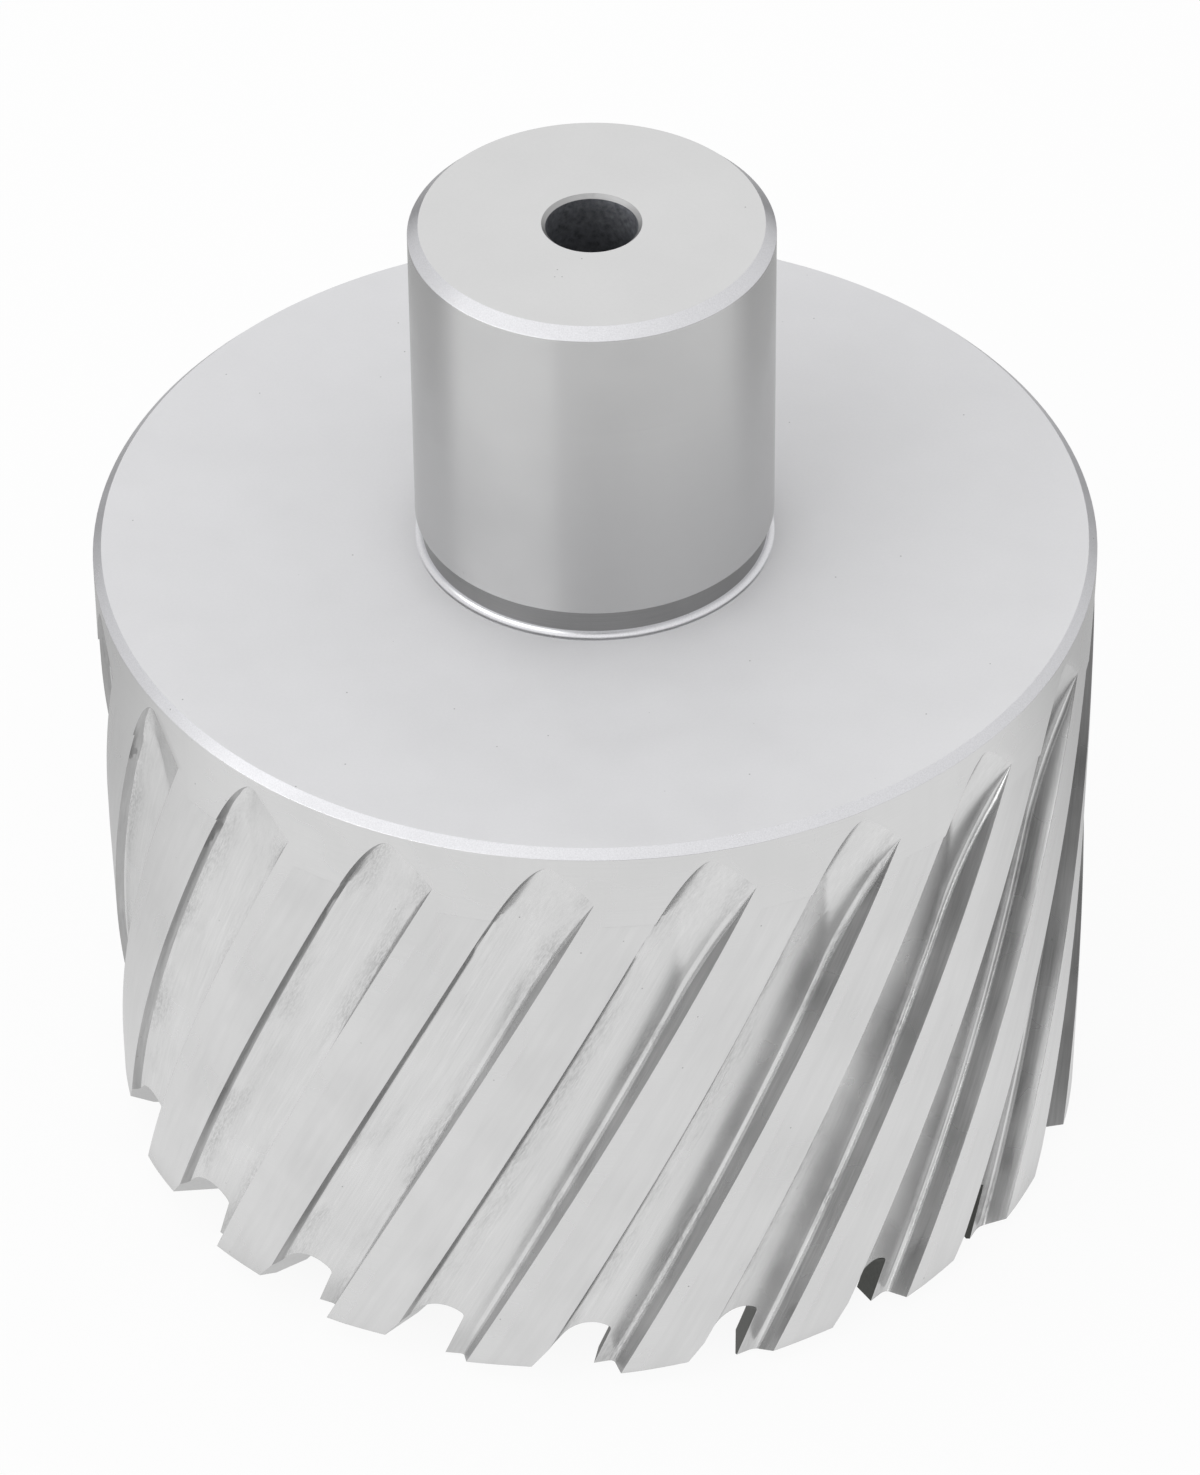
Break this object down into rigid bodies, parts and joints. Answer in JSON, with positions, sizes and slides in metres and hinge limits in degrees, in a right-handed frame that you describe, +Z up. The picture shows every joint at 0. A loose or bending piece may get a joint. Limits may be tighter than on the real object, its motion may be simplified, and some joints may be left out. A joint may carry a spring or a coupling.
{
  "type": "annular cutter",
  "caption": "Annular cutter: a cup with right-hand spiral flutes and a toothed rim, under a plain cylindrical shank with a pilot bore, for cutting large holes in metal plate.",
  "frame": {"origin": "on the cutter's axis, in the plane of the tooth tips that it stands on", "axes": "+Z runs up the axis from the tips to the shank, and -Y is the side that faces the viewer, opposite the drive flats"},
  "size_m": [0.0888, 0.0888, 0.0959],
  "materials": {
    "cutter_steel": "satin ground high speed steel, bare and unmarked"
  },
  "bodies": {
    "root": {"cutter_body": "cutter_steel"}
  },
  "joints": []
}
